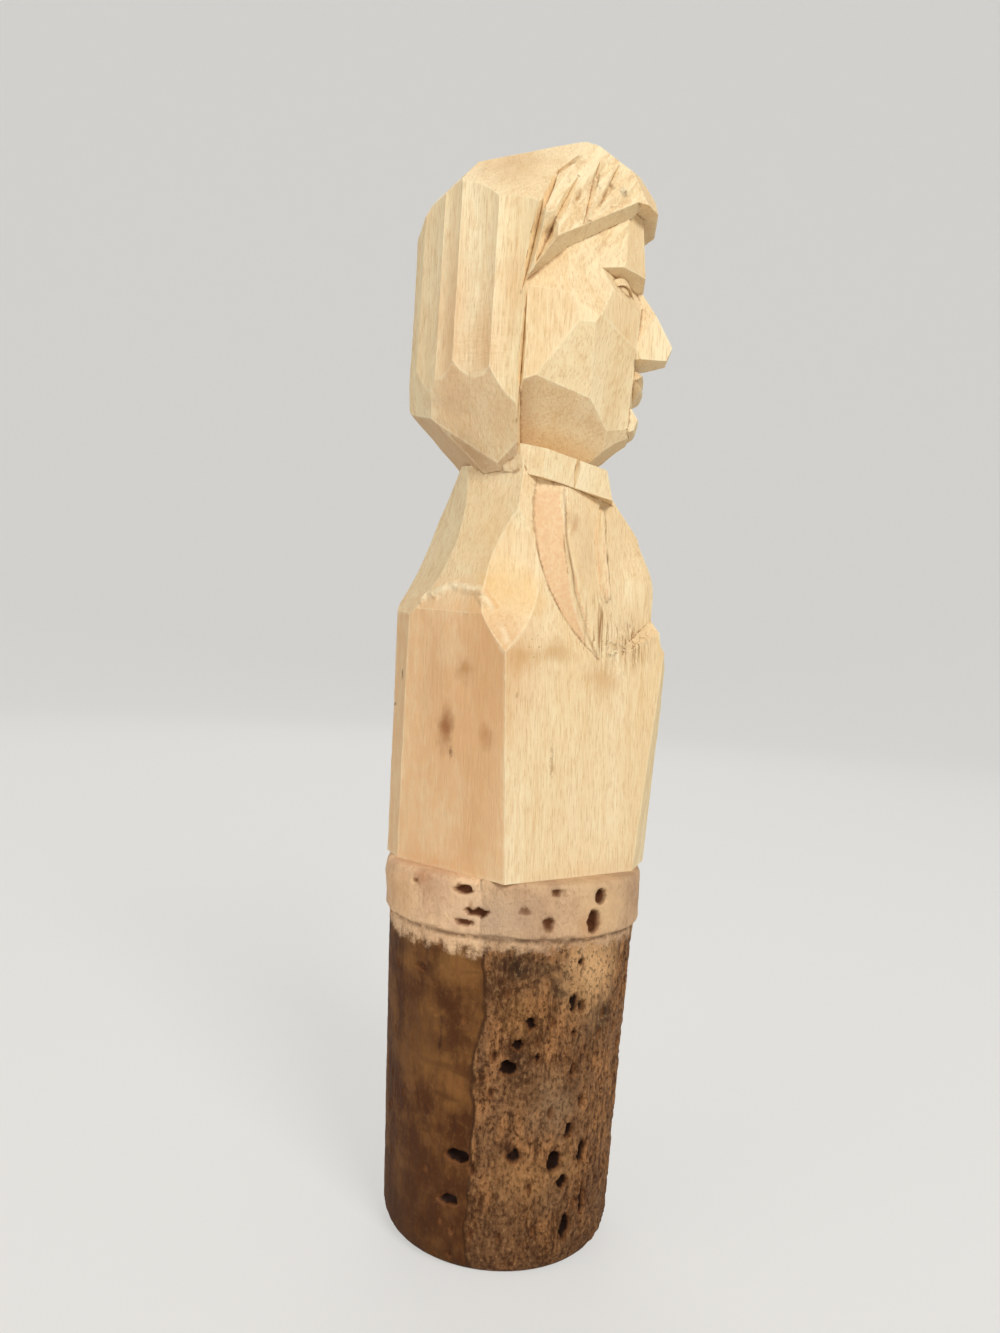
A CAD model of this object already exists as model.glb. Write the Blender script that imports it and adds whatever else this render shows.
import math

import bmesh
import bpy
from mathutils import Matrix, Vector, noise


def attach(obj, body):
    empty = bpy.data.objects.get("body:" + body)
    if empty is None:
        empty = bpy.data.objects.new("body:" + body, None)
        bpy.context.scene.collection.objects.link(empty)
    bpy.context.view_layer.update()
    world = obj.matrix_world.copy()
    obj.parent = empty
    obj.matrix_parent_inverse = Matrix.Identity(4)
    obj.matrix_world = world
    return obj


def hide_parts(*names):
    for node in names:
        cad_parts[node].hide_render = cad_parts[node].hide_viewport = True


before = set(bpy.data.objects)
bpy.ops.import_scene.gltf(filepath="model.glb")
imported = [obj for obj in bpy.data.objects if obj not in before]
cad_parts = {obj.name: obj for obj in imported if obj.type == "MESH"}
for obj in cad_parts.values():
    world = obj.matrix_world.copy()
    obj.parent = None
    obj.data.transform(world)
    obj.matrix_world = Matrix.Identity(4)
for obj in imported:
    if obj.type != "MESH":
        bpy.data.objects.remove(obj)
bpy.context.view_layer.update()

# ---------------------------------------------------------------------------
# Camera: level with the chest, on the figure's right side, close in.
# ---------------------------------------------------------------------------
MM = 0.001
# the point it is set out from, how far back it stands and how far to the left, in millimetres
AIM = (0, 0, 51.8)
STAND_OFF = 92.0
SHIFT_LEFT = 2.49
turn, tip, roll = math.radians(5.0), math.radians(-0.5), math.radians(3.4)
forward = Vector((-math.sin(turn) * math.cos(tip), math.cos(turn) * math.cos(tip), -math.sin(tip)))
level = Vector((math.cos(turn), math.sin(turn), 0))
downward = forward.cross(level)
if downward.z > 0:
    downward.negate()
right = math.cos(roll) * level - math.sin(roll) * downward
down = math.sin(roll) * level + math.cos(roll) * downward
stand = (Vector(AIM) - STAND_OFF * forward - SHIFT_LEFT * right) * MM

camera = bpy.data.objects.new("camera", bpy.data.cameras.new("camera"))
camera.data.sensor_width = 36.0
camera.data.lens = 26.0
camera.data.clip_start = 0.005
camera.data.clip_end = 20.0
camera.matrix_world = Matrix.Translation(stand) @ Matrix((right, -down, -forward)).transposed().to_4x4()
bpy.context.scene.collection.objects.link(camera)
bpy.context.scene.camera = camera

# ---------------------------------------------------------------------------
# Cork: a natural bark cork, already used. The top few millimetres stood out of
# the bottle and stayed pale; the rest was squeezed and stained by the wine.
# Turned as rings of points, then given its pores and rough bark by a node tree.
# ---------------------------------------------------------------------------
CORK_R = 12.0
CORK_LEN = 33.6
BAND_FOOT = 28.9
SHAFT_R = 11.65
FOOT_R = 10.55
FOOT_ROUND = 1.6  # the foot's rim is rounded by this much
BAND_STEP = 0.5  # the height in which the shaft steps out to the band
LIP_ROUND = 0.35  # how far the top's rim is worn in, and over what height
LIP_HEIGHT = 0.5
CREASE_AT = 28.75  # the line that the bottle's lip pressed in
UNEVEN = 0.11  # how far the bark is out of round
# where the lip is torn outwards at the back: bearing, half spread in degrees, height, half height, rise
TEAR = (205, 32, 32.2, 2.6, 0.38)
ROUND_CUTS = 380  # points round the cork, and rings up its side
RING_CUTS = 220


def add(tree, kind, settings=None, inputs=None):
    """Adds one node. An input that is given a socket is linked to it, any other value is set on it."""
    made = tree.nodes.new(kind)
    for name, value in (settings or {}).items():
        setattr(made, name, value)
    for key, value in (inputs or {}).items():
        if isinstance(value, bpy.types.NodeSocket):
            tree.links.new(value, made.inputs[key])
        else:
            made.inputs[key].default_value = value
    return made


def calc(tree, operation, a, b=0.0):
    """One arithmetic node's result."""
    return add(tree, "ShaderNodeMath", {"operation": operation}, {0: a, 1: b}).outputs[0]


def plus(tree, a, b):
    """The sum of two values."""
    return calc(tree, "ADD", a, b)


def minus(tree, a, b):
    """The first value less the second."""
    return calc(tree, "SUBTRACT", a, b)


def times(tree, *factors):
    """The product of two or more values."""
    product = factors[0]
    for factor in factors[1:]:
        product = calc(tree, "MULTIPLY", product, factor)
    return product


def vector_calc(tree, operation, a, b=None):
    """One vector node's result. SCALE takes a number as b, DOT_PRODUCT and LENGTH give a number."""
    inputs = {0: a}
    if b is not None:
        inputs["Scale" if operation == "SCALE" else 1] = b
    made = add(tree, "ShaderNodeVectorMath", {"operation": operation}, inputs)
    return made.outputs["Value" if operation in ("DOT_PRODUCT", "LENGTH") else "Vector"]


def axes(tree, vector):
    """The vector's x, y and z."""
    return add(tree, "ShaderNodeSeparateXYZ", None, {0: vector}).outputs


def stretch(tree, vector, x, y, z):
    """The vector with each part scaled."""
    return vector_calc(tree, "MULTIPLY", vector, (x, y, z))


def drawn_up(tree, vector, share):
    """The vector with its height cut to a share, so that a pattern on it is drawn out upwards."""
    return stretch(tree, vector, 1.0, 1.0, share)


def in_mm(tree, vector):
    """A place in metres as one in millimetres."""
    return vector_calc(tree, "MULTIPLY", vector, (1 / MM,) * 3)


def grain(tree, vector, scale, detail, rough=0.55):
    """Noise from 0 to 1."""
    inputs = {"Vector": vector, "Scale": scale, "Detail": detail, "Roughness": rough}
    return add(tree, "ShaderNodeTexNoise", {"noise_dimensions": "3D"}, inputs).outputs[0]


def between(tree, value, low, high, to_low=0.0, to_high=1.0):
    """The value's place between two limits, held inside them and eased."""
    inputs = {"Value": value, "From Min": low, "From Max": high, "To Min": to_low, "To Max": to_high}
    return add(tree, "ShaderNodeMapRange", {"interpolation_type": "SMOOTHSTEP"}, inputs).outputs[0]


def near(tree, vector, point, radius, squash=(1.0, 1.0, 1.0)):
    """1 at a point, falling to 0 at the radius. `squash` below 1 lengthens the patch along that axis."""
    away = vector_calc(tree, "SUBTRACT", vector, point)
    distance = vector_calc(tree, "LENGTH", stretch(tree, away, *squash))
    return between(tree, distance, 0.0, radius, 1.0, 0.0)


def beside(tree, vector, start, end, radius):
    """1 along the straight line between two points, falling to 0 at the radius."""
    line = Vector(end) - Vector(start)
    away = vector_calc(tree, "SUBTRACT", vector, start)
    share = vector_calc(tree, "DOT_PRODUCT", away, tuple(line / line.length_squared))
    share = calc(tree, "MINIMUM", calc(tree, "MAXIMUM", share, 0.0), 1.0)
    foot = vector_calc(tree, "SCALE", tuple(line), share)
    distance = vector_calc(tree, "LENGTH", vector_calc(tree, "SUBTRACT", away, foot))
    return between(tree, distance, 0.0, radius, 1.0, 0.0)


def drift(tree, vector, scale, reach):
    """A shift that noise makes, up to the reach each way."""
    shade = add(tree, "ShaderNodeTexNoise", None, {"Vector": vector, "Scale": scale, "Detail": 3.0}).outputs[1]
    inputs = {0: shade, 1: (2 * reach,) * 3, 2: (-reach,) * 3}
    return add(tree, "ShaderNodeVectorMath", {"operation": "MULTIPLY_ADD"}, inputs).outputs[0]


def wander(tree, vector, scale, reach):
    """The vector shifted about by noise, so that a round patch on it comes out ragged."""
    return vector_calc(tree, "ADD", vector, drift(tree, vector, scale, reach))


def mirrored(tree, vector):
    """The vector with both sides of the figure folded onto the near one."""
    x, y, z = axes(tree, vector)
    near_y = times(tree, calc(tree, "ABSOLUTE", y), -1.0)
    return add(tree, "ShaderNodeCombineXYZ", None, {0: x, 1: near_y, 2: z}).outputs[0]


def srgb(r, g, b):
    """A screen colour, 0 to 255, as the linear colour that a shader takes."""
    parts = [v / 255 for v in (r, g, b)]
    return tuple(v / 12.92 if v <= 0.04045 else ((v + 0.055) / 1.055) ** 2.4 for v in parts) + (1.0,)


def tint(tree, amount, a, b):
    """Colour a turned towards colour b by the amount. Inputs 6 and 7 are the node's two colours."""
    return add(tree, "ShaderNodeMix", {"data_type": "RGBA"}, {"Factor": amount, 6: a, 7: b}).outputs[2]


def patches(tree, place, colour, marks, broken=1.0):
    """The colour with soft patches: [point, radius, strength, squash, colour]. `broken` thins them out."""
    for point, radius, strength, squash, patch_colour in marks:
        amount = times(tree, near(tree, place, point, radius, squash), strength, broken)
        colour = tint(tree, amount, colour, srgb(*patch_colour))
    return colour


def new_material(name):
    """An empty material with its node tree and Principled shader, and the object's own place in millimetres."""
    made = bpy.data.materials.new(name)
    made.use_nodes = True
    tree = made.node_tree
    tree.nodes.clear()
    shader = add(tree, "ShaderNodeBsdfPrincipled")
    add(tree, "ShaderNodeOutputMaterial", None, {"Surface": shader.outputs[0]})
    return made, tree, shader, in_mm(tree, add(tree, "ShaderNodeTexCoord").outputs["Object"])


def eased(share):
    """A share from 0 to 1 that starts and ends softly."""
    return share * share * (3 - 2 * share)


def cork_radius(z):
    """The cork's radius at a height: a rounded foot, the squeezed shaft, the step out to the clean band."""
    if z < FOOT_ROUND:
        return FOOT_R - FOOT_ROUND + math.sqrt(max(0.0, FOOT_ROUND**2 - (FOOT_ROUND - z) ** 2))
    shaft = FOOT_R + (SHAFT_R - FOOT_R) * z / BAND_FOOT
    step = eased(min(1.0, max(0.0, (z - BAND_FOOT + BAND_STEP / 2) / BAND_STEP)))
    lip = LIP_ROUND * min(1.0, max(0.0, (z - CORK_LEN + LIP_HEIGHT) / LIP_HEIGHT)) ** 2
    return shaft + (CORK_R - shaft) * step - lip


def cork_blank():
    """Rings of points up the side, with both ends closed by smaller rings and a middle point."""
    rings = [(r, 0.0) for r in (2.0, 4.5, 6.5, 8.0)]
    rings += [(cork_radius(CORK_LEN * i / RING_CUTS), CORK_LEN * i / RING_CUTS) for i in range(RING_CUTS + 1)]
    rings += [(r, CORK_LEN) for r in (10.6, 9.0, 6.0, 3.0)]
    tear_at, spread, tear_height, half_height, rise = TEAR
    bm = bmesh.new()
    rows = []
    for radius, z in rings:
        row = []
        for i in range(ROUND_CUTS):
            a = 2 * math.pi * i / ROUND_CUTS
            reach = radius - 0.04
            if 0.2 < z < CORK_LEN - 0.05:
                # the ends stay true, the side was never perfectly round
                spot = Vector((math.cos(a) * 1.3, math.sin(a) * 1.3, z * 0.035))
                reach += UNEVEN * noise.noise(spot) - 0.05
                torn = max(0.0, 1 - abs((math.degrees(a) - tear_at) / spread))
                reach += rise * eased(torn * max(0.0, 1 - abs(z - tear_height) / half_height))
            row.append(bm.verts.new((reach * math.cos(a) * MM, reach * math.sin(a) * MM, z * MM)))
        rows.append(row)
    for low, high in zip(rows, rows[1:]):
        for i in range(ROUND_CUTS):
            j = (i + 1) % ROUND_CUTS
            bm.faces.new((low[i], low[j], high[j], high[i]))
    for row, z, flip in ((rows[0], 0.0, True), (rows[-1], CORK_LEN * MM, False)):
        middle = bm.verts.new((0, 0, z))
        for i in range(ROUND_CUTS):
            j = (i + 1) % ROUND_CUTS
            bm.faces.new((middle, row[j], row[i]) if flip else (middle, row[i], row[j]))
    mesh = bpy.data.meshes.new("cork_bark")
    bm.to_mesh(mesh)
    bm.free()
    return mesh


def cork_side(azimuth, z):
    """The point on the cork's side at a bearing in degrees and a height."""
    a = math.radians(azimuth)
    return Vector((math.cos(a), math.sin(a), 0)) * cork_radius(z) + Vector((0, 0, z))


# Big pores: [azimuth, height, half width, half height, depth]
PORES = [
    (253, 32.7, 1.0, 0.35, 0.7),
    (259, 30.9, 1.15, 0.32, 0.7),
    (254, 29.9, 0.95, 0.35, 0.5),
    (227, 32.6, 0.5, 0.2, 0.3),
    (231, 25.1, 0.8, 0.4, 0.35),
    (292, 33.0, 0.5, 0.45, 0.45),
    (279, 31.3, 0.5, 0.45, 0.3),
    (289, 30.3, 0.6, 0.6, 0.5),
    (313, 32.4, 0.6, 0.65, 1.1),
    (310, 30.3, 0.65, 1.0, 1.1),
    (307, 26.7, 0.35, 0.4, 0.6),
    (305, 23.2, 0.4, 1.0, 0.9),
    (309, 22.9, 0.4, 0.6, 0.6),
    (285, 21.7, 0.45, 0.55, 0.7),
    (306, 20.6, 0.3, 0.3, 0.6),
    (280, 19.8, 0.55, 0.5, 0.8),
    (276, 17.8, 0.8, 0.7, 0.9),
    (289, 18.8, 0.3, 0.45, 0.5),
    (307, 17.4, 0.35, 0.6, 0.5),
    (314, 14.4, 0.4, 0.5, 0.5),
    (308, 12.1, 0.5, 0.75, 1.1),
    (301, 9.6, 0.65, 0.9, 1.2),
    (306, 7.7, 0.6, 0.65, 1.1),
    (317, 10.0, 0.6, 1.1, 1.1),
    (320, 5.7, 0.45, 1.5, 1.1),
    (310, 3.5, 0.5, 1.3, 1.1),
    (255, 9.8, 1.1, 0.6, 1.1),
    (251, 5.9, 1.1, 0.55, 0.7),
    (281, 10.3, 0.7, 0.6, 0.6),
    (28, 31.0, 0.7, 0.4, 0.8),
    (41, 11.0, 0.6, 1.1, 0.9),
    (63, 24.5, 0.8, 0.7, 0.9),
    (95, 30.2, 0.9, 0.35, 0.6),
    (112, 14.6, 0.9, 0.9, 1.0),
    (130, 5.2, 0.5, 1.0, 0.8),
    (148, 21.3, 0.6, 0.9, 0.9),
    (171, 7.4, 0.8, 0.8, 0.9),
    (196, 28.2, 0.6, 0.6, 0.7),
    (345, 17.8, 0.6, 0.9, 0.9),
    (357, 26.4, 0.5, 0.7, 0.7),
    (12, 4.5, 0.5, 0.9, 0.8),
]


def pore_marks():
    """One point for each big pore, with its half width, half height and depth."""
    mesh = bpy.data.meshes.new("pore_marks")
    mesh.from_pydata([cork_side(p[0], p[1]) * MM for p in PORES], [], [])
    for column, name in ((2, "half_width"), (3, "half_height"), (4, "depth")):
        mesh.attributes.new(name, "FLOAT", "POINT").data.foreach_set("value", [p[column] for p in PORES])
    return bpy.data.objects.new("pore_marks", mesh)


def shaping_tree(name, sizes):
    """A node tree that takes and gives a shape, with a named input for each size, and its input node."""
    tree = bpy.data.node_groups.new(name, "GeometryNodeTree")
    sockets = tree.interface
    sockets.new_socket("Geometry", in_out="INPUT", socket_type="NodeSocketGeometry")
    for label, value in sizes.items():
        sockets.new_socket(label, in_out="INPUT", socket_type="NodeSocketFloat").default_value = value
    sockets.new_socket("Geometry", in_out="OUTPUT", socket_type="NodeSocketGeometry")
    return tree, tree.nodes.new("NodeGroupInput")


def push_out(tree, shape, distance, material):
    """A tree's last nodes: points go out along their normals, in millimetres, and get the material."""
    normal = add(tree, "GeometryNodeInputNormal").outputs[0]
    push = vector_calc(tree, "SCALE", normal, times(tree, distance, MM))
    moved = add(tree, "GeometryNodeSetPosition", None, {"Geometry": shape, "Offset": push})
    real = add(tree, "GeometryNodeRealizeInstances", None, {0: moved.outputs[0]})
    skin = add(tree, "GeometryNodeSetMaterial", None, {"Geometry": real.outputs[0], "Material": material})
    add(tree, "NodeGroupOutput", None, {0: skin.outputs[0]})


def bark_tree(marks):
    """Node tree that sinks the pores and roughens the bark. Attribute `pore` keeps how deep the pores go."""
    sizes = {"Fine pore depth": 0.32, "Streak depth": 0.18, "Pattern seed": 4.0}
    tree, given = shaping_tree("cork_bark", sizes)
    place = in_mm(tree, add(tree, "GeometryNodeInputPosition").outputs[0])
    height = axes(tree, place)[2]
    seed = given.outputs["Pattern seed"]
    shift = add(tree, "ShaderNodeCombineXYZ", None, {0: seed, 2: seed}).outputs[0]
    spot = vector_calc(tree, "ADD", place, shift)

    # the nearest big pore, and how far inside its oval each point lies
    info = add(tree, "GeometryNodeObjectInfo", None, {"Object": marks}).outputs["Geometry"]
    nearest = add(tree, "GeometryNodeSampleNearest", {"domain": "POINT"}, {"Geometry": info}).outputs[0]

    def sampled(kind, value):
        inputs = {"Geometry": info, "Index": nearest, 1: value}
        return add(tree, "GeometryNodeSampleIndex", {"data_type": kind}, inputs).outputs[0]

    def column(name):
        value = add(tree, "GeometryNodeInputNamedAttribute", {"data_type": "FLOAT"}, {"Name": name}).outputs[0]
        return sampled("FLOAT", value)

    centre = in_mm(tree, sampled("FLOAT_VECTOR", add(tree, "GeometryNodeInputPosition").outputs[0]))
    away = vector_calc(tree, "SUBTRACT", place, centre)
    away = vector_calc(tree, "ADD", away, drift(tree, place, 1.7, 0.45))
    x, y, z = axes(tree, away)
    sideways = calc(tree, "SQRT", plus(tree, calc(tree, "POWER", x, 2.0), calc(tree, "POWER", y, 2.0)))
    across = calc(tree, "DIVIDE", sideways, column("half_width"))
    along = calc(tree, "DIVIDE", z, column("half_height"))
    oval = calc(tree, "SQRT", plus(tree, calc(tree, "POWER", across, 2.0), calc(tree, "POWER", along, 2.0)))
    big = times(tree, between(tree, oval, 0.55, 1.2, 1.0, 0.0), column("depth"))

    # rough streaked bark towards the front, smoother at the back
    bearing = vector_calc(tree, "DOT_PRODUCT", place, (0.62, -0.78, 0.0))
    below_band = between(tree, height, 27.2, BAND_FOOT, 1.0, 0.25)
    rough_side = times(tree, between(tree, bearing, 1.0, 8.0, 0.3, 1.0), below_band)
    streaks = between(tree, grain(tree, drawn_up(tree, spot, 0.22), 1.5, 5.0, 0.65), 0.42, 0.62, 1.0, 0.0)
    crumbs = grain(tree, drawn_up(tree, spot, 0.6), 3.2, 3.0, 0.6)
    sunk = times(tree, streaks, rough_side, given.outputs["Streak depth"])
    sunk = plus(tree, sunk, times(tree, crumbs, rough_side, 0.15))
    # small pores and lenticels, longer up the cork than across it
    cells = {"Vector": drawn_up(tree, spot, 0.55), "Scale": 0.75, "Randomness": 1.0}
    small = add(tree, "ShaderNodeTexVoronoi", {"feature": "F1"}, cells)
    keep = between(tree, axes(tree, small.outputs["Color"])[0], 0.55, 0.6)
    small_pit = times(tree, between(tree, small.outputs["Distance"], 0.1, 0.3, 1.0, 0.0), keep)
    small_pit = times(tree, small_pit, given.outputs["Fine pore depth"], plus(tree, rough_side, 0.2))
    pit = calc(tree, "MAXIMUM", big, small_pit)
    # the line where the bottle's lip pressed in, a shaky groove under the band
    shaky = grain(tree, stretch(tree, spot, 0.5, 0.5, 0.1), 0.6, 2.0)
    shaky = times(tree, minus(tree, shaky, 0.5), 1.6)
    off_line = calc(tree, "ABSOLUTE", plus(tree, minus(tree, height, CREASE_AT), shaky))
    total = plus(tree, plus(tree, pit, sunk), between(tree, off_line, 0.0, 0.3, 0.16, 0.0))
    # the ends stay flat: only the side is worked
    side_only = times(tree, between(tree, height, 0.1, 0.9), between(tree, height, 33.15, 33.5, 1.0, 0.0))
    # the pores' depth is stored before the points move, for the colour
    inputs = {"Geometry": given.outputs[0], "Name": "pore"}
    kept = add(tree, "GeometryNodeStoreNamedAttribute", {"data_type": "FLOAT", "domain": "POINT"}, inputs)
    tree.links.new(times(tree, pit, side_only), kept.inputs["Value"])
    push_out(tree, kept.outputs[0], times(tree, total, side_only, -1.0), cork_skin)
    return tree


def plain_mesh(obj, tree):
    """Runs a node tree on an object and gives the object the result as its plain mesh, smoothly shaded."""
    obj.modifiers.new("shape", "NODES").node_group = tree
    bpy.context.view_layer.update()
    dg = bpy.context.evaluated_depsgraph_get()
    made = bpy.data.meshes.new_from_object(obj.evaluated_get(dg), preserve_all_data_layers=True, depsgraph=dg)
    obj.modifiers.clear()
    obj.data = made
    obj.data.shade_smooth()


cork_skin, tree, shader, place = new_material("wine_stained_cork")
ahead, _, height = axes(tree, place)
pore = add(tree, "ShaderNodeAttribute", {"attribute_name": "pore"}).outputs["Fac"]
cloud = grain(tree, drawn_up(tree, place, 0.6), 0.32, 5.0, 0.62)
tone = grain(tree, drawn_up(tree, place, 0.5), 0.2, 3.0, 0.6)
fine = grain(tree, drawn_up(tree, place, 0.25), 1.5, 6.0, 0.72)
crumb = grain(tree, drawn_up(tree, place, 0.7), 3.0, 5.0, 0.68)
level_marks = grain(tree, stretch(tree, place, 0.25, 0.25, 1.0), 0.9, 3.0, 0.5)
# the stained shaft: a smooth dark side left of a seam in the bark, a torn, lighter side right of it
from_seam = plus(tree, plus(tree, ahead, 1.75), times(tree, minus(tree, tone, 0.5), 4.5))
torn_side = between(tree, from_seam, -0.2, 0.3)
smooth_bark = tint(tree, between(tree, cloud, 0.38, 0.64), srgb(80, 43, 13), srgb(132, 88, 44))
smooth_bark = tint(tree, between(tree, level_marks, 0.48, 0.66, 0.0, 0.5), smooth_bark, srgb(76, 40, 12))
smooth_bark = tint(tree, between(tree, crumb, 0.52, 0.7, 0.0, 0.3), smooth_bark, srgb(150, 104, 60))
torn_bark = tint(tree, between(tree, fine, 0.36, 0.62), srgb(84, 48, 20), srgb(190, 134, 84))
torn_bark = tint(tree, between(tree, cloud, 0.44, 0.6, 0.0, 0.7), torn_bark, srgb(144, 104, 70))
torn_bark = tint(tree, between(tree, crumb, 0.5, 0.66, 0.0, 0.68), torn_bark, srgb(62, 34, 14))
stained = tint(tree, torn_side, smooth_bark, torn_bark)
seam = between(tree, calc(tree, "ABSOLUTE", from_seam), 0.0, 0.35, 0.6, 0.0)
stained = tint(tree, seam, stained, srgb(60, 32, 12))
stained = tint(tree, between(tree, height, 1.0, 13.0, 0.45, 0.0), stained, srgb(78, 44, 16))
blotted = wander(tree, place, 0.7, 1.3)
stained = patches(tree, blotted, stained, (
    # wax-grey places, where the surface is sealed
    ((5.2, -9.8, 14.6), 3.4, 0.9, (1.0, 1.0, 0.75), (160, 126, 92)),
    ((2.9, -10.7, 16.0), 2.0, 0.7, (1.0, 1.0, 0.6), (116, 78, 44)),
    ((5.2, -9.4, 7.2), 2.2, 0.7, (1.0, 1.0, 0.7), (138, 104, 72)),
    ((1.6, -10.6, 4.4), 2.4, 0.5, (1.0, 1.0, 0.8), (132, 94, 60)),
    ((8.7, -7.3, 20.6), 2.4, 0.8, (1.0, 1.0, 0.9), (110, 84, 58)),
    # tan ridges
    ((8.0, -8.4, 26.0), 5.2, 0.95, (1.0, 1.0, 0.9), (250, 200, 144)),
    ((7.0, -9.0, 23.6), 2.8, 0.6, (1.0, 1.0, 0.8), (178, 130, 80)),
    ((2.2, -10.9, 22.4), 3.2, 0.5, (1.0, 1.0, 0.8), (160, 114, 66)),
    ((3.2, -10.6, 8.4), 3.4, 0.85, (0.7, 1.0, 1.2), (184, 134, 84)),
    ((6.6, -8.5, 9.4), 2.2, 0.7, (1.0, 1.0, 0.8), (176, 130, 84)),
    ((-6.4, -9.2, 19.0), 4.0, 0.5, (1.0, 1.0, 0.7), (132, 90, 48)),
    ((-4.6, -10.2, 26.0), 2.4, 0.5, (0.7, 1.0, 1.3), (140, 98, 52)),
))
stained = patches(tree, blotted, stained, (
    # black and blue-grey mould
    ((1.4, -11.5, 26.5), 2.2, 1.0, (1.0, 1.0, 1.0), (44, 30, 18)),
    ((4.0, -10.9, 26.2), 2.4, 0.8, (1.0, 1.0, 1.1), (86, 64, 42)),
    ((5.2, -10.2, 24.6), 1.8, 0.8, (1.0, 1.0, 1.3), (62, 44, 26)),
    ((-0.2, -11.4, 24.6), 2.6, 0.8, (1.0, 1.0, 0.8), (74, 42, 18)),
    ((-2.6, -11.3, 27.6), 1.8, 0.9, (0.7, 1.0, 1.2), (76, 40, 14)),
    ((-6.8, -9.3, 25.2), 2.2, 0.8, (1.0, 1.0, 1.4), (66, 36, 14)),
    ((-9.6, -6.6, 26.6), 2.6, 0.7, (1.0, 1.0, 1.6), (76, 44, 18)),
    ((-9.4, -6.4, 16.0), 3.4, 0.5, (1.0, 1.0, 0.6), (74, 40, 14)),
    ((9.4, -6.4, 22.2), 1.8, 0.9, (1.0, 1.0, 0.8), (42, 30, 20)),
    ((1.8, -11.1, 18.4), 2.6, 0.9, (1.3, 1.3, 0.7), (60, 33, 13)),
    ((3.4, -10.9, 20.6), 1.8, 0.7, (1.0, 1.0, 0.8), (70, 40, 18)),
    ((1.4, -10.9, 10.8), 1.8, 0.9, (0.7, 1.0, 1.6), (66, 36, 14)),
    ((6.6, -8.9, 17.4), 1.9, 0.7, (1.3, 1.3, 0.6), (78, 48, 24)),
    ((-7.0, -8.4, 7.6), 3.6, 0.5, (1.0, 1.0, 0.8), (84, 47, 19)),
), between(tree, fine, 0.26, 0.46, 0.5, 1.0))
# crumbs torn out all over the rough side, and the tan ridges left between them
torn_out = times(tree, between(tree, crumb, 0.5, 0.6, 0.0, 0.6), torn_side)
stained = tint(tree, torn_out, stained, srgb(76, 44, 20))
left_high = times(tree, between(tree, crumb, 0.36, 0.46, 0.3, 0.0), torn_side)
stained = tint(tree, left_high, stained, srgb(214, 166, 114))
# one upright crack in the smooth side
crack = beside(tree, wander(tree, place, 1.2, 0.25), (-4.9, -10.1, 21.4), (-4.8, -10.1, 18.6), 0.28)
stained = tint(tree, times(tree, crack, 0.8), stained, srgb(52, 28, 12))
# the clean band, and the ragged line where the stain begins
pale = tint(tree, between(tree, cloud, 0.38, 0.62), srgb(216, 176, 140), srgb(240, 202, 160))
pale = tint(tree, between(tree, crumb, 0.5, 0.68, 0.0, 0.45), pale, srgb(178, 128, 88))
pale = patches(tree, blotted, pale, (
    ((8.6, -8.6, 31.2), 5.0, 0.8, (1.0, 1.0, 1.0), (255, 214, 164)),
    ((7.4, -9.4, 29.6), 2.2, 0.35, (1.0, 1.0, 1.0), (206, 140, 92)),
    ((-1.0, -12.0, 30.6), 4.6, 0.7, (0.7, 1.0, 1.4), (212, 180, 150)),
    ((-9.6, -7.2, 31.3), 3.4, 0.6, (1.0, 1.0, 1.0), (230, 180, 130)),
    ((-7.4, -9.4, 32.9), 1.8, 0.5, (1.0, 1.0, 1.4), (190, 126, 82)),
))
ragged = times(tree, minus(tree, grain(tree, place, 0.75, 6.0, 0.7), 0.5), 4.2)
ragged = plus(tree, ragged, times(tree, torn_side, -0.5))
skin_colour = tint(tree, between(tree, plus(tree, height, ragged), 27.0, 28.2), stained, pale)
crease = between(tree, calc(tree, "ABSOLUTE", minus(tree, height, CREASE_AT)), 0.0, 0.4, 0.6, 0.0)
crease = times(tree, crease, between(tree, fine, 0.35, 0.55))
skin_colour = tint(tree, crease, skin_colour, srgb(104, 66, 38))
pit_colour = tint(tree, between(tree, height, 27.5, 29.2), srgb(28, 10, 5), srgb(104, 58, 30))
skin_colour = tint(tree, between(tree, pore, 0.03, 0.2, 0.0, 0.55), skin_colour, srgb(140, 88, 50))
skin_colour = tint(tree, between(tree, pore, 0.16, 0.55, 0.0, 0.95), skin_colour, pit_colour)
tree.links.new(skin_colour, shader.inputs["Base Color"])
shader.inputs["Roughness"].default_value = 0.62
shader.inputs["Specular IOR Level"].default_value = 0.2
relief = plus(tree, fine, times(tree, crumb, 0.9))
relief = times(tree, relief, plus(tree, times(tree, torn_side, 0.7), 0.3))
bump = add(tree, "ShaderNodeBump", None, {"Strength": 0.9, "Distance": 0.00045, "Height": relief})
tree.links.new(bump.outputs[0], shader.inputs["Normal"])

marks = pore_marks()
bark = bpy.data.objects.new("cork_bark", cork_blank())
bpy.context.scene.collection.objects.link(bark)
bpy.context.scene.collection.objects.link(marks)
plain_mesh(bark, bark_tree(marks))
bpy.data.objects.remove(marks)
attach(bark, "root")
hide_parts("cork")

# ---------------------------------------------------------------------------
# Joining dowel: a plain beech peg glued into the cork and the bust, out of sight.
# The CAD solid is right as it is and only takes its material.
# ---------------------------------------------------------------------------
beech, tree, shader, place = new_material("beech_peg")
fleck = grain(tree, drawn_up(tree, place, 0.12), 2.2, 5.0, 0.6)
tree.links.new(tint(tree, fleck, srgb(196, 154, 108), srgb(222, 184, 138)), shader.inputs["Base Color"])
shader.inputs["Roughness"].default_value = 0.6
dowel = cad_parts["joining_dowel"]
dowel.data.materials.clear()
dowel.data.materials.append(beech)

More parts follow.
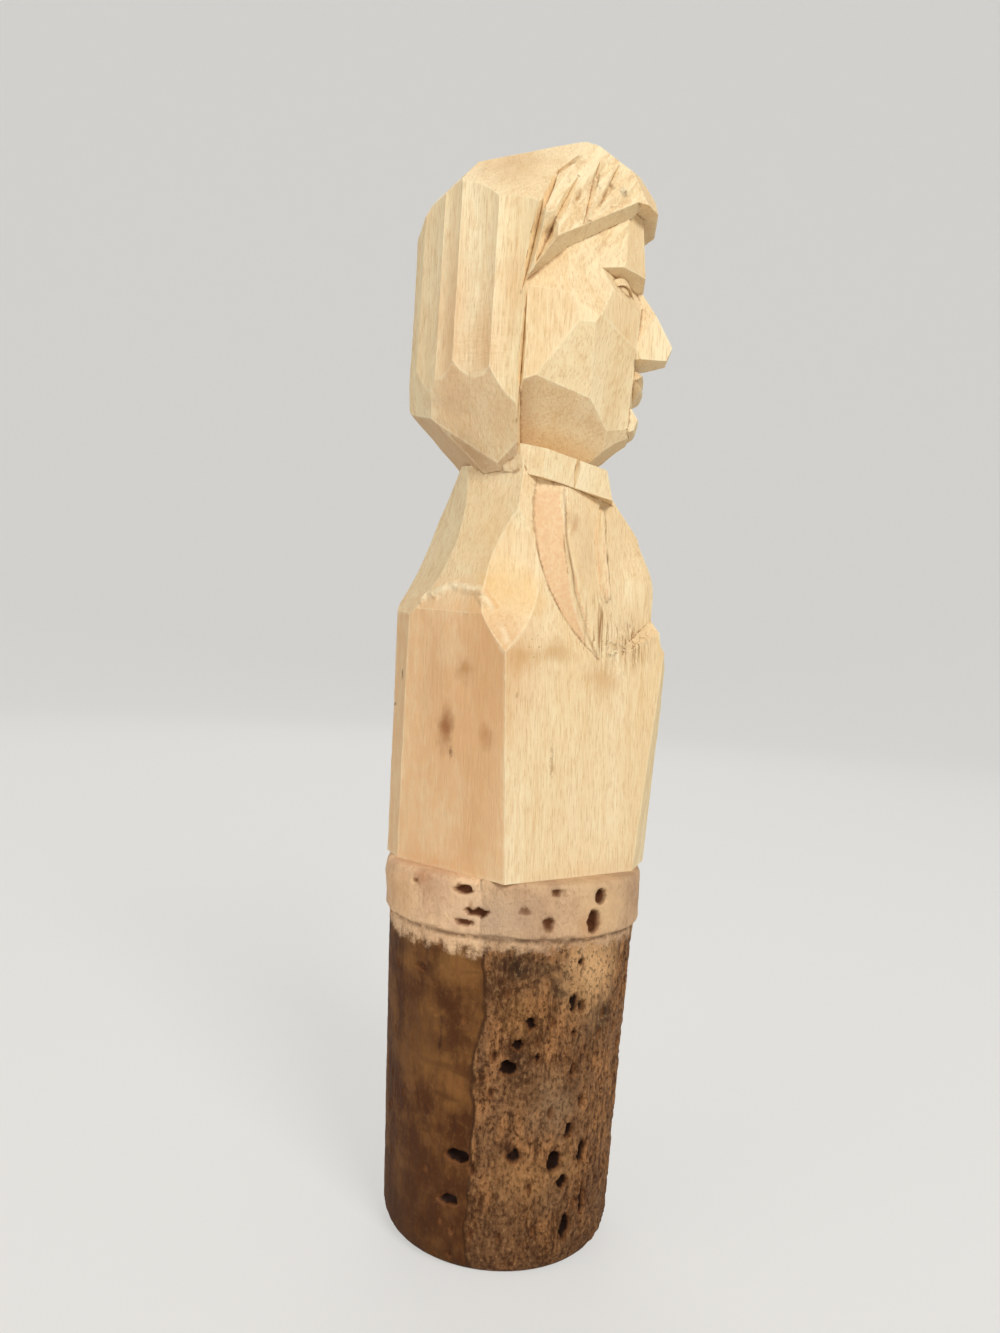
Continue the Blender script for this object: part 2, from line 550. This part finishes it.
# ---------------------------------------------------------------------------
# Carved bust: one block of pale close-grained basswood, cut with a knife and left
# unsanded and unfinished. The solid's flats and crisp arrises are kept, and every
# surface gets the slight hollows and ripples of the blade.
# ---------------------------------------------------------------------------
EDGE_STEPS = (0.006, 0.003, 0.0015, 0.0009, 0.0006)  # edges longer than this are halved, round by round
# Where it is cut finer still, for torn grain, the shirt and the fringe: [point, reach]
FINE_PLACES = [
    ((8.3, 3.4, 55.0), 4.0),
    ((5.0, 8.6, 57.0), 5.5),
    ((6.6, 3.0, 62.5), 4.6),
    ((4.0, 7.0, 93.5), 6.5),
]
FINE_EDGE = 0.0004
CORNER_ANGLE = math.radians(9)  # what counts as an arris, and what is shaded as a crisp one
CRISP_ANGLE = math.radians(16)
SLIVER = 2e-9
# Strokes of the knife in the fringe, from root to tip on the near side: [start, end, half width, depth]
STROKES = [
    ((2.9, -7.9, 93.6), (0.2, -9.6, 88.6), 0.55, 0.34),
    ((4.9, -5.6, 97.0), (2.6, -8.6, 92.0), 0.5, 0.28),
    ((6.2, -5.0, 96.4), (4.2, -7.7, 92.1), 0.45, 0.26),
    ((7.6, -4.8, 94.9), (3.1, -8.9, 90.4), 0.5, 0.3),
    ((3.9, -5.7, 98.4), (0.8, -7.8, 95.1), 0.5, 0.24),
    ((5.4, -5.0, 97.9), (3.9, -6.6, 95.2), 0.4, 0.22),
]
# The burr that the blade raised along the top of the rear corner's flat
BURR = [(-9.4, -5.8, 57.4), (-6.5, -7.6, 58.5), (-3.9, -9.6, 58.2), (-2.2, -10.8, 55.9), (-0.9, -11.7, 53.6)]
# The fine cut down the inner side of the near lapel
LAPEL_CUT = [(2.9, -6.6, 67.6), (3.4, -7.1, 63.2), (4.4, -6.8, 58.6), (5.9, -5.7, 54.6), (6.7, -5.0, 52.9)]
# The raised front edge of the shirt
SHIRT_EDGE = [(6.1, -2.7, 66.3), (6.5, -3.1, 62.7), (7.0, -3.4, 58.6)]
# Where the wood stands a little proud of the solid: [point, radius, squash, height]
SWELLS = [
    ((9.2, 0.0, 78.2), 3.4, (1.0, 0.7, 1.0), 0.34),  # mouth
    ((8.8, 0.0, 74.6), 3.2, (1.0, 0.7, 1.0), 0.4),  # chin
    ((10.6, 1.6, 60.2), 4.6, (1.0, 1.0, 1.0), 0.8),  # far side of the chest
]


def divide(bm, edges):
    """Halves the edges, then makes triangles again over the shorter diagonals, which keeps slivers out."""
    bmesh.ops.subdivide_edges(bm, edges=edges, cuts=1, use_grid_fill=False)
    bmesh.ops.triangulate(bm, faces=bm.faces, quad_method="SHORT_EDGE")


def knife_flats():
    """The bust's flats, cut into small triangles so that the tool marks have points to move. The arrises stay
    crisp. The attribute `edge` is 1 along an outer corner, -1 along an inner one and 0 on a flat."""
    bm = bmesh.new()
    bm.from_mesh(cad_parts["carved_bust"].data)
    bmesh.ops.remove_doubles(bm, verts=bm.verts, dist=0.00001)
    bmesh.ops.dissolve_limit(bm, angle_limit=math.radians(1.2), verts=bm.verts, edges=bm.edges)
    bmesh.ops.triangulate(bm, faces=bm.faces, quad_method="SHORT_EDGE")
    bmesh.ops.dissolve_degenerate(bm, dist=0.000001, edges=bm.edges)
    bmesh.ops.triangulate(bm, faces=bm.faces, quad_method="SHORT_EDGE")
    corner = bm.edges.layers.float.new("corner")
    for e in bm.edges:
        # a sliver's own angle says nothing about the arris it lies on
        if len(e.link_faces) != 2 or min(f.calc_area() for f in e.link_faces) < SLIVER:
            continue
        turned = e.calc_face_angle_signed(0.0)
        if abs(turned) > CORNER_ANGLE:
            e[corner] = math.copysign(1.0, turned)
            e.smooth = abs(turned) < CRISP_ANGLE
    for longest in EDGE_STEPS:
        divide(bm, [e for e in bm.edges if e.calc_length() > longest])
    for (x, y, z), reach in FINE_PLACES:
        spots = [Vector((x * fore, y * side, z)) * MM for fore in (1, -1) for side in (1, -1)]
        long_edges = [e for e in bm.edges if e.calc_length() > FINE_EDGE]
        divide(bm, [e for e in long_edges if min((e.verts[0].co - v).length for v in spots) < reach * MM])
    bmesh.ops.dissolve_degenerate(bm, dist=0.000002, edges=bm.edges)
    bm.verts.index_update()
    edge = [0.0] * len(bm.verts)
    for e in bm.edges:
        if abs(e[corner]) > 0.5:
            for v in e.verts:
                edge[v.index] = e[corner]
    mesh = bpy.data.meshes.new("bust")
    bm.to_mesh(mesh)
    bm.free()
    mesh.attributes.new("edge", "FLOAT", "POINT").data.foreach_set("value", edge)
    return mesh


def along_all(tree, vector, points, radius):
    """1 along a bent line through the points, falling to 0 at the radius."""
    nearest = 0.0
    for start, end in zip(points, points[1:]):
        nearest = calc(tree, "MAXIMUM", nearest, beside(tree, vector, start, end, radius))
    return nearest


def knife_tree():
    """Node tree for what the blade left: hollows, ripples, torn grain, a burr, cuts and strokes."""
    tree, given = shaping_tree("knife_marks", {"Hollow depth": 0.24, "Ripple depth": 0.03})
    place = in_mm(tree, add(tree, "GeometryNodeInputPosition").outputs[0])
    height = axes(tree, place)[2]
    hollow = minus(tree, grain(tree, drawn_up(tree, place, 0.45), 0.24, 3.0), 0.5)
    total = times(tree, hollow, given.outputs["Hollow depth"])
    # slow ripples where the blade rocked on its way down
    wave = plus(tree, times(tree, height, 2.1), times(tree, grain(tree, place, 0.25, 2.0), 14.0))
    rocked = between(tree, grain(tree, place, 0.16, 1.0), 0.5, 0.62)
    total = plus(tree, total, times(tree, calc(tree, "SINE", wave), rocked, given.outputs["Ripple depth"]))
    # torn grain at the foot of each lapel
    shred = between(tree, grain(tree, drawn_up(tree, place, 0.18), 2.6, 4.0, 0.7), 0.48, 0.62, 0.0, -0.32)
    for side in (-1.0, 1.0):
        torn = near(tree, place, (9.0, 3.6 * side, 53.5), 3.6, (1.0, 1.0, 0.7))
        total = plus(tree, total, times(tree, shred, torn))
    # the burr, the shirt's raised edge, the cut inside the lapel and the strokes in the fringe
    shaken = wander(tree, place, 0.8, 0.35)
    crumbs = between(tree, grain(tree, place, 1.1, 3.0, 0.6), 0.42, 0.6, 0.08, 0.34)
    total = plus(tree, total, times(tree, along_all(tree, shaken, BURR, 0.75), crumbs))
    total = plus(tree, total, times(tree, along_all(tree, shaken, SHIRT_EDGE, 0.7), 0.55))
    total = minus(tree, total, times(tree, along_all(tree, place, LAPEL_CUT, 0.4), 0.16))
    folded = wander(tree, mirrored(tree, place), 0.5, 0.4)
    for start, end, half, depth in STROKES:
        total = minus(tree, total, times(tree, beside(tree, folded, start, end, half), depth))
    for point, radius, squash, rise in SWELLS:
        total = plus(tree, total, times(tree, near(tree, place, point, radius, squash), rise))
    # the underside of the joint and the faces of the joint's hole stay true
    total = times(tree, total, between(tree, height, 33.7, 35.0))
    push_out(tree, given.outputs[0], total, basswood)
    return tree


basswood, tree, shader, place = new_material("knife_cut_basswood")
ahead, _, height = axes(tree, place)
facing = add(tree, "ShaderNodeNewGeometry").outputs["Normal"]
up = axes(tree, facing)[2]
edge = add(tree, "ShaderNodeAttribute", {"attribute_name": "edge"}).outputs["Fac"]
broad = grain(tree, drawn_up(tree, place, 0.15), 0.2, 3.0, 0.5)
mottle = grain(tree, drawn_up(tree, place, 0.6), 0.8, 5.0, 0.65)
lines = grain(tree, drawn_up(tree, place, 0.04), 1.4, 5.0, 0.65)
fibres = grain(tree, drawn_up(tree, place, 0.1), 6.4, 3.0, 0.65)
wood = tint(tree, between(tree, broad, 0.32, 0.68), srgb(246, 221, 174), srgb(254, 236, 196))
# each cut meets the grain at its own angle, and so takes its own tone
cut_tone = between(tree, grain(tree, facing, 1.9, 1.0), 0.42, 0.62, 0.0, 0.34)
wood = tint(tree, cut_tone, wood, srgb(234, 196, 146))
wood = tint(tree, between(tree, lines, 0.48, 0.68, 0.0, 0.28), wood, srgb(224, 180, 124))
wood = tint(tree, between(tree, mottle, 0.5, 0.7, 0.0, 0.35), wood, srgb(230, 190, 136))
wood = tint(tree, between(tree, fibres, 0.5, 0.68, 0.0, 0.42), wood, srgb(204, 158, 102))
wood = tint(tree, between(tree, fibres, 0.34, 0.46, 0.35, 0.0), wood, srgb(255, 244, 208))
# cuts across the grain drink in dust and go browner, most of all under the hair
wood = tint(tree, between(tree, calc(tree, "ABSOLUTE", up), 0.25, 0.8, 0.0, 0.16), wood, srgb(212, 166, 120))
facing_down = between(tree, times(tree, up, -1.0), 0.12, 0.6)
under = times(tree, facing_down, between(tree, ahead, -2.0, 1.0, 0.5, 0.0))
wood = tint(tree, under, wood, srgb(186, 142, 104))
# the rear corner of the block has been handled most
rear = vector_calc(tree, "DOT_PRODUCT", facing, (-0.62, -0.79, 0.0))
handled = times(tree, between(tree, rear, 0.75, 0.95), between(tree, height, 56.0, 60.0, 1.0, 0.0))
handled = times(tree, handled, between(tree, mottle, 0.35, 0.6, 0.55, 0.9))
wood = tint(tree, handled, wood, srgb(240, 194, 144))
# the sloping rim round the near lapel is end grain, pink and stippled
slope = vector_calc(tree, "DOT_PRODUCT", facing, (0.781, -0.61, 0.134))
rim = times(tree, between(tree, slope, 0.78, 0.84), between(tree, slope, 0.89, 0.93, 1.0, 0.0))
rim = times(tree, rim, between(tree, near(tree, place, (2.6, -8.0, 60.6), 10.0), 0.1, 0.3))
stipple = between(tree, grain(tree, place, 3.0, 2.0, 0.6), 0.4, 0.62, 0.65, 0.95)
wood = tint(tree, times(tree, rim, stipple), wood, srgb(236, 192, 146))
blotted = wander(tree, place, 0.6, 1.1)
wood = patches(tree, blotted, wood, (
    # handling stains on the rear corner
    ((-6.3, -8.0, 45.8), 4.2, 0.55, (1.0, 1.0, 0.5), (234, 180, 126)),
    ((-6.3, -8.0, 46.0), 1.7, 0.9, (1.1, 1.1, 0.6), (160, 100, 54)),
    ((-2.4, -11.0, 45.5), 1.5, 0.8, (1.0, 1.0, 1.0), (176, 118, 70)),
    ((-4.7, -9.5, 51.1), 1.6, 0.8, (1.0, 1.0, 0.9), (188, 130, 76)),
    ((-2.2, -11.2, 52.2), 5.4, 0.6, (0.8, 1.0, 0.5), (222, 168, 114)),
    ((-3.0, -10.6, 43.4), 3.6, 0.5, (1.0, 1.0, 0.35), (228, 174, 120)),
    ((-7.6, -7.0, 51.0), 3.0, 0.35, (1.0, 1.0, 0.5), (216, 166, 116)),
    ((-3.2, -10.4, 37.0), 2.6, 0.4, (1.0, 1.0, 0.6), (228, 174, 120)),
    # the block's front facet, darkest under the lapels
    ((0.6, -11.0, 52.4), 3.0, 0.65, (1.0, 1.0, 1.5), (210, 160, 102)),
    ((3.2, -8.6, 53.0), 3.0, 0.65, (1.0, 1.0, 1.8), (208, 160, 102)),
    ((7.2, -4.7, 50.9), 3.4, 0.6, (1.0, 1.0, 1.5), (214, 166, 112)),
    ((9.4, -2.0, 53.6), 2.8, 0.4, (1.0, 1.0, 1.0), (218, 172, 114)),
    # yellowed places by the shoulder, and a mark on the shirt
    ((-2.1, -9.4, 58.4), 3.2, 0.5, (1.0, 1.0, 0.8), (240, 200, 134)),
    ((0.6, -9.3, 57.6), 2.6, 0.5, (1.0, 1.0, 0.8), (238, 196, 130)),
    ((-2.8, -7.6, 63.0), 3.0, 0.4, (1.0, 1.0, 0.4), (238, 198, 142)),
    ((3.8, -6.4, 64.6), 0.9, 0.7, (1.0, 1.0, 0.6), (204, 154, 106)),
    ((5.2, -5.4, 62.6), 2.4, 0.5, (1.0, 1.0, 0.5), (226, 190, 146)),
    # hair: the browner strand behind the temple, and the lower facet
    ((-8.0, -6.8, 80.5), 3.6, 0.5, (1.0, 1.0, 0.25), (230, 180, 128)),
    ((-4.6, -8.8, 79.4), 2.8, 0.55, (1.0, 1.0, 0.5), (228, 180, 128)),
    ((-2.6, -9.3, 84.6), 2.0, 0.45, (1.0, 1.0, 0.4), (232, 186, 132)),
    ((-7.6, -7.2, 74.4), 4.4, 0.35, (1.0, 1.0, 0.9), (214, 170, 130)),
    ((-3.4, -8.9, 73.6), 3.0, 0.3, (1.0, 1.0, 0.9), (218, 174, 132)),
    # the crown, browner where it is handled, and the hollow under the hair
    ((-3.4, -5.8, 96.2), 5.2, 0.5, (1.0, 1.0, 1.0), (206, 166, 124)),
    ((-6.6, -6.6, 70.4), 3.6, 0.5, (1.0, 1.0, 1.2), (190, 144, 102)),
))
# nicks with dirt in them
wood = patches(tree, wander(tree, place, 2.2, 0.35), wood, (
    ((-5.6, -8.5, 43.8), 0.32, 0.8, (1.0, 1.0, 0.4), (128, 82, 50)),
    ((-11.2, -3.6, 50.4), 0.45, 0.8, (1.0, 1.0, 0.6), (92, 60, 40)),
    ((-12.1, -1.6, 47.5), 0.5, 0.8, (1.0, 1.0, 1.6), (104, 72, 48)),
    ((0.1, -11.5, 49.3), 0.3, 0.7, (1.0, 1.0, 0.8), (160, 112, 66)),
    ((3.2, -8.9, 43.6), 0.45, 0.6, (1.6, 1.6, 0.16), (152, 108, 66)),
    ((4.3, -6.7, 94.6), 0.4, 0.75, (1.0, 1.0, 0.7), (132, 92, 54)),
    ((5.5, -5.7, 95.2), 0.45, 0.8, (1.0, 1.0, 0.7), (122, 82, 46)),
    ((6.6, -5.4, 94.8), 0.6, 0.85, (1.0, 1.0, 0.8), (112, 74, 44)),
    ((3.7, -8.5, 90.8), 0.4, 0.8, (1.0, 1.0, 0.8), (128, 88, 50)),
    ((1.0, -9.8, 89.6), 0.5, 0.6, (1.0, 1.0, 0.5), (166, 112, 62)),
    ((1.8, -8.4, 94.4), 0.4, 0.6, (1.0, 1.0, 0.6), (172, 124, 76)),
))
# the strokes in the fringe keep dirt, the burr and the shirt's front edge are pale raw wood
folded = wander(tree, mirrored(tree, place), 0.5, 0.4)
dirty = between(tree, mottle, 0.35, 0.6, 0.3, 1.0)
for start, end, half, _ in STROKES:
    stroke = times(tree, beside(tree, folded, start, end, 0.55 * half), 0.75)
    wood = tint(tree, times(tree, stroke, dirty), wood, srgb(168, 114, 64))
shaken = wander(tree, place, 0.8, 0.35)
beside_shirt = [(x + 0.5, y + 0.45, z) for x, y, z in SHIRT_EDGE]
for vector, line, radius, strength, line_colour in (
    (shaken, BURR, 0.5, 0.5, (253, 238, 204)),
    (shaken, SHIRT_EDGE, 0.45, 0.9, (255, 246, 214)),
    (shaken, beside_shirt, 0.3, 0.8, (150, 100, 58)),
    (place, LAPEL_CUT, 0.26, 0.75, (146, 96, 60)),
):
    drawn = times(tree, along_all(tree, vector, line, radius), strength)
    wood = tint(tree, drawn, wood, srgb(*line_colour))
# between the strokes the fringe is rough, its ridges running the same way
run = Vector((0.42, 0.38, 0.82)).normalized()
share = times(tree, vector_calc(tree, "DOT_PRODUCT", folded, tuple(run)), -0.9)
flattened = vector_calc(tree, "ADD", folded, vector_calc(tree, "SCALE", tuple(run), share))
strands = grain(tree, flattened, 1.5, 4.0, 0.65)
fringe = vector_calc(tree, "DOT_PRODUCT", mirrored(tree, facing), (0.478, -0.828, 0.292))
fringe = between(tree, fringe, 0.86, 0.95)
fringe = times(tree, fringe, between(tree, near(tree, folded, (4.0, -7.0, 93.5), 9.0), 0.05, 0.3))
wood = tint(tree, times(tree, fringe, between(tree, strands, 0.52, 0.64, 0.0, 0.35)), wood, srgb(210, 166, 110))
wood = tint(tree, times(tree, fringe, between(tree, strands, 0.4, 0.54, 0.6, 0.0)), wood, srgb(255, 240, 200))
# specks of old mould on the front facet and the shoulder
cells = {"Vector": place, "Scale": 1.5, "Randomness": 1.0}
to_cell = add(tree, "ShaderNodeTexVoronoi", {"feature": "F1"}, cells).outputs["Distance"]
dots = between(tree, to_cell, 0.07, 0.16, 0.7, 0.0)
mould = near(tree, place, (1.6, -9.8, 53.2), 2.6)
mould = calc(tree, "MAXIMUM", mould, near(tree, place, (-2.0, -9.4, 58.2), 2.6))
wood = tint(tree, times(tree, dots, mould), wood, srgb(140, 112, 62))
# torn end grain between the foot of the lapel and the shirt: thin cracks up the grain
cracks = grain(tree, drawn_up(tree, place, 0.02), 2.2, 2.0, 0.5)
cracks = between(tree, calc(tree, "ABSOLUTE", minus(tree, cracks, 0.5)), 0.0, 0.045, 1.0, 0.0)
torn = near(tree, place, (7.0, -4.6, 55.4), 3.8, (1.0, 1.0, 0.8))
torn = calc(tree, "MAXIMUM", torn, near(tree, place, (9.6, -1.6, 54.6), 3.6))
wood = tint(tree, times(tree, cracks, torn), wood, srgb(166, 114, 66))
# inner corners hold dirt, outer ones are bruised pale
uneven = between(tree, grain(tree, place, 0.9, 3.0, 0.6), 0.35, 0.6, 0.35, 1.0)
wood = tint(tree, times(tree, between(tree, edge, -0.9, -0.25, 0.75, 0.0), uneven), wood, srgb(160, 112, 70))
wood = tint(tree, times(tree, between(tree, edge, 0.25, 0.9, 0.0, 0.4), uneven), wood, srgb(252, 236, 200))
tree.links.new(wood, shader.inputs["Base Color"])
shader.inputs["Roughness"].default_value = 0.6
shader.inputs["Specular IOR Level"].default_value = 0.3
# fine chatter across the lower hair, the fibres everywhere, the cracks where the grain tore
waves = grain(tree, stretch(tree, shaken, 0.2, 0.2, 1.0), 2.3, 1.0)
chatter = times(tree, waves, near(tree, folded, (-5.2, -8.2, 79.0), 5.5, (1.0, 1.0, 0.7)))
raised = plus(tree, plus(tree, fibres, times(tree, lines, 0.7)), chatter)
raised = minus(tree, raised, times(tree, cracks, torn))
raised = minus(tree, raised, times(tree, strands, fringe, 2.4))
bump = add(tree, "ShaderNodeBump", None, {"Strength": 0.55, "Distance": 0.0002, "Height": raised})
tree.links.new(bump.outputs[0], shader.inputs["Normal"])

bust = bpy.data.objects.new("bust", knife_flats())
bpy.context.scene.collection.objects.link(bust)
plain_mesh(bust, knife_tree())
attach(bust, "root")
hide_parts("carved_bust")

# ---------------------------------------------------------------------------
# Studio: a pale floor that sweeps up all round, and soft light.
# ---------------------------------------------------------------------------
FLOOR_R = 0.8  # the flat floor's radius, the bend's radius and the top of the wall, in metres
BEND_R = 0.5
WALL_TOP = 1.4


def sweep():
    """A round floor whose rim curves up into a wall."""
    bends = [math.radians(9 * i) for i in range(1, 11)]
    rings = [(r, 0.0) for r in (0.05, 0.2, 0.5, FLOOR_R)]
    rings += [(FLOOR_R + BEND_R * math.sin(a), BEND_R - BEND_R * math.cos(a)) for a in bends]
    rings += [(FLOOR_R + BEND_R, WALL_TOP)]
    around = 96
    bearings = [2 * math.pi * i / around for i in range(around)]
    verts, faces = [(0, 0, 0)], []
    for r, z in rings:
        verts += [(r * math.cos(a), r * math.sin(a), z) for a in bearings]
    for i in range(around):
        faces.append((0, 1 + i, 1 + (i + 1) % around))
    for k in range(len(rings) - 1):
        for i in range(around):
            a, b = 1 + k * around + i, 1 + k * around + (i + 1) % around
            faces.append((a, a + around, b + around, b))
    mesh = bpy.data.meshes.new("studio_floor")
    mesh.from_pydata(verts, [], faces)
    mesh.update()
    mesh.shade_smooth()
    return bpy.data.objects.new("studio_floor", mesh)


paper, tree, shader, place = new_material("pale_paper")
shader.inputs["Base Color"].default_value = srgb(214, 212, 208)
shader.inputs["Roughness"].default_value = 0.9
# to the camera the paper also glows a little, so that the wall stays as pale as the floor
glow = add(tree, "ShaderNodeEmission", None, {"Color": srgb(240, 239, 236)})
seen = times(tree, add(tree, "ShaderNodeLightPath").outputs["Is Camera Ray"], 0.6)
paper_mix = add(tree, "ShaderNodeMixShader", None, {0: seen, 1: shader.outputs[0], 2: glow.outputs[0]})
output = next(n for n in tree.nodes if n.type == "OUTPUT_MATERIAL")
tree.links.new(paper_mix.outputs[0], output.inputs["Surface"])
floor = sweep()
floor.data.materials.append(paper)
bpy.context.scene.collection.objects.link(floor)


def softbox(name, azimuth, elevation, distance, size, watts, colour):
    """A square soft light aimed at the middle of the stopper."""
    lamp = bpy.data.lights.new(name, "AREA")
    lamp.shape = "SQUARE"
    lamp.size = size
    lamp.energy = watts
    lamp.color = colour
    made = bpy.data.objects.new(name, lamp)
    a, e = math.radians(azimuth), math.radians(elevation)
    out = Vector((math.cos(a) * math.cos(e), math.sin(a) * math.cos(e), math.sin(e)))
    made.location = Vector((0, 0, 0.055)) + out * distance
    made.rotation_mode = "QUATERNION"
    made.rotation_quaternion = (-out).to_track_quat("-Z", "Y")
    bpy.context.scene.collection.objects.link(made)


# name, azimuth, elevation, distance and size in metres, watts, colour
softbox("key_light", 302, 34, 0.55, 0.2, 1.95, (1.0, 0.98, 0.94))
softbox("fill_light", 220, 12, 0.7, 0.5, 1.4, (1.0, 0.98, 0.96))
softbox("back_light", 100, 40, 0.8, 0.5, 1.5, (1.0, 1.0, 1.0))

world = bpy.data.worlds.new("studio")
bpy.context.scene.world = world
world.use_nodes = True
world.node_tree.nodes["Background"].inputs[0].default_value = (1.0, 0.99, 0.97, 1.0)
world.node_tree.nodes["Background"].inputs[1].default_value = 0.5
bpy.context.scene.view_settings.view_transform = "Standard"

bpy.context.view_layer.update()
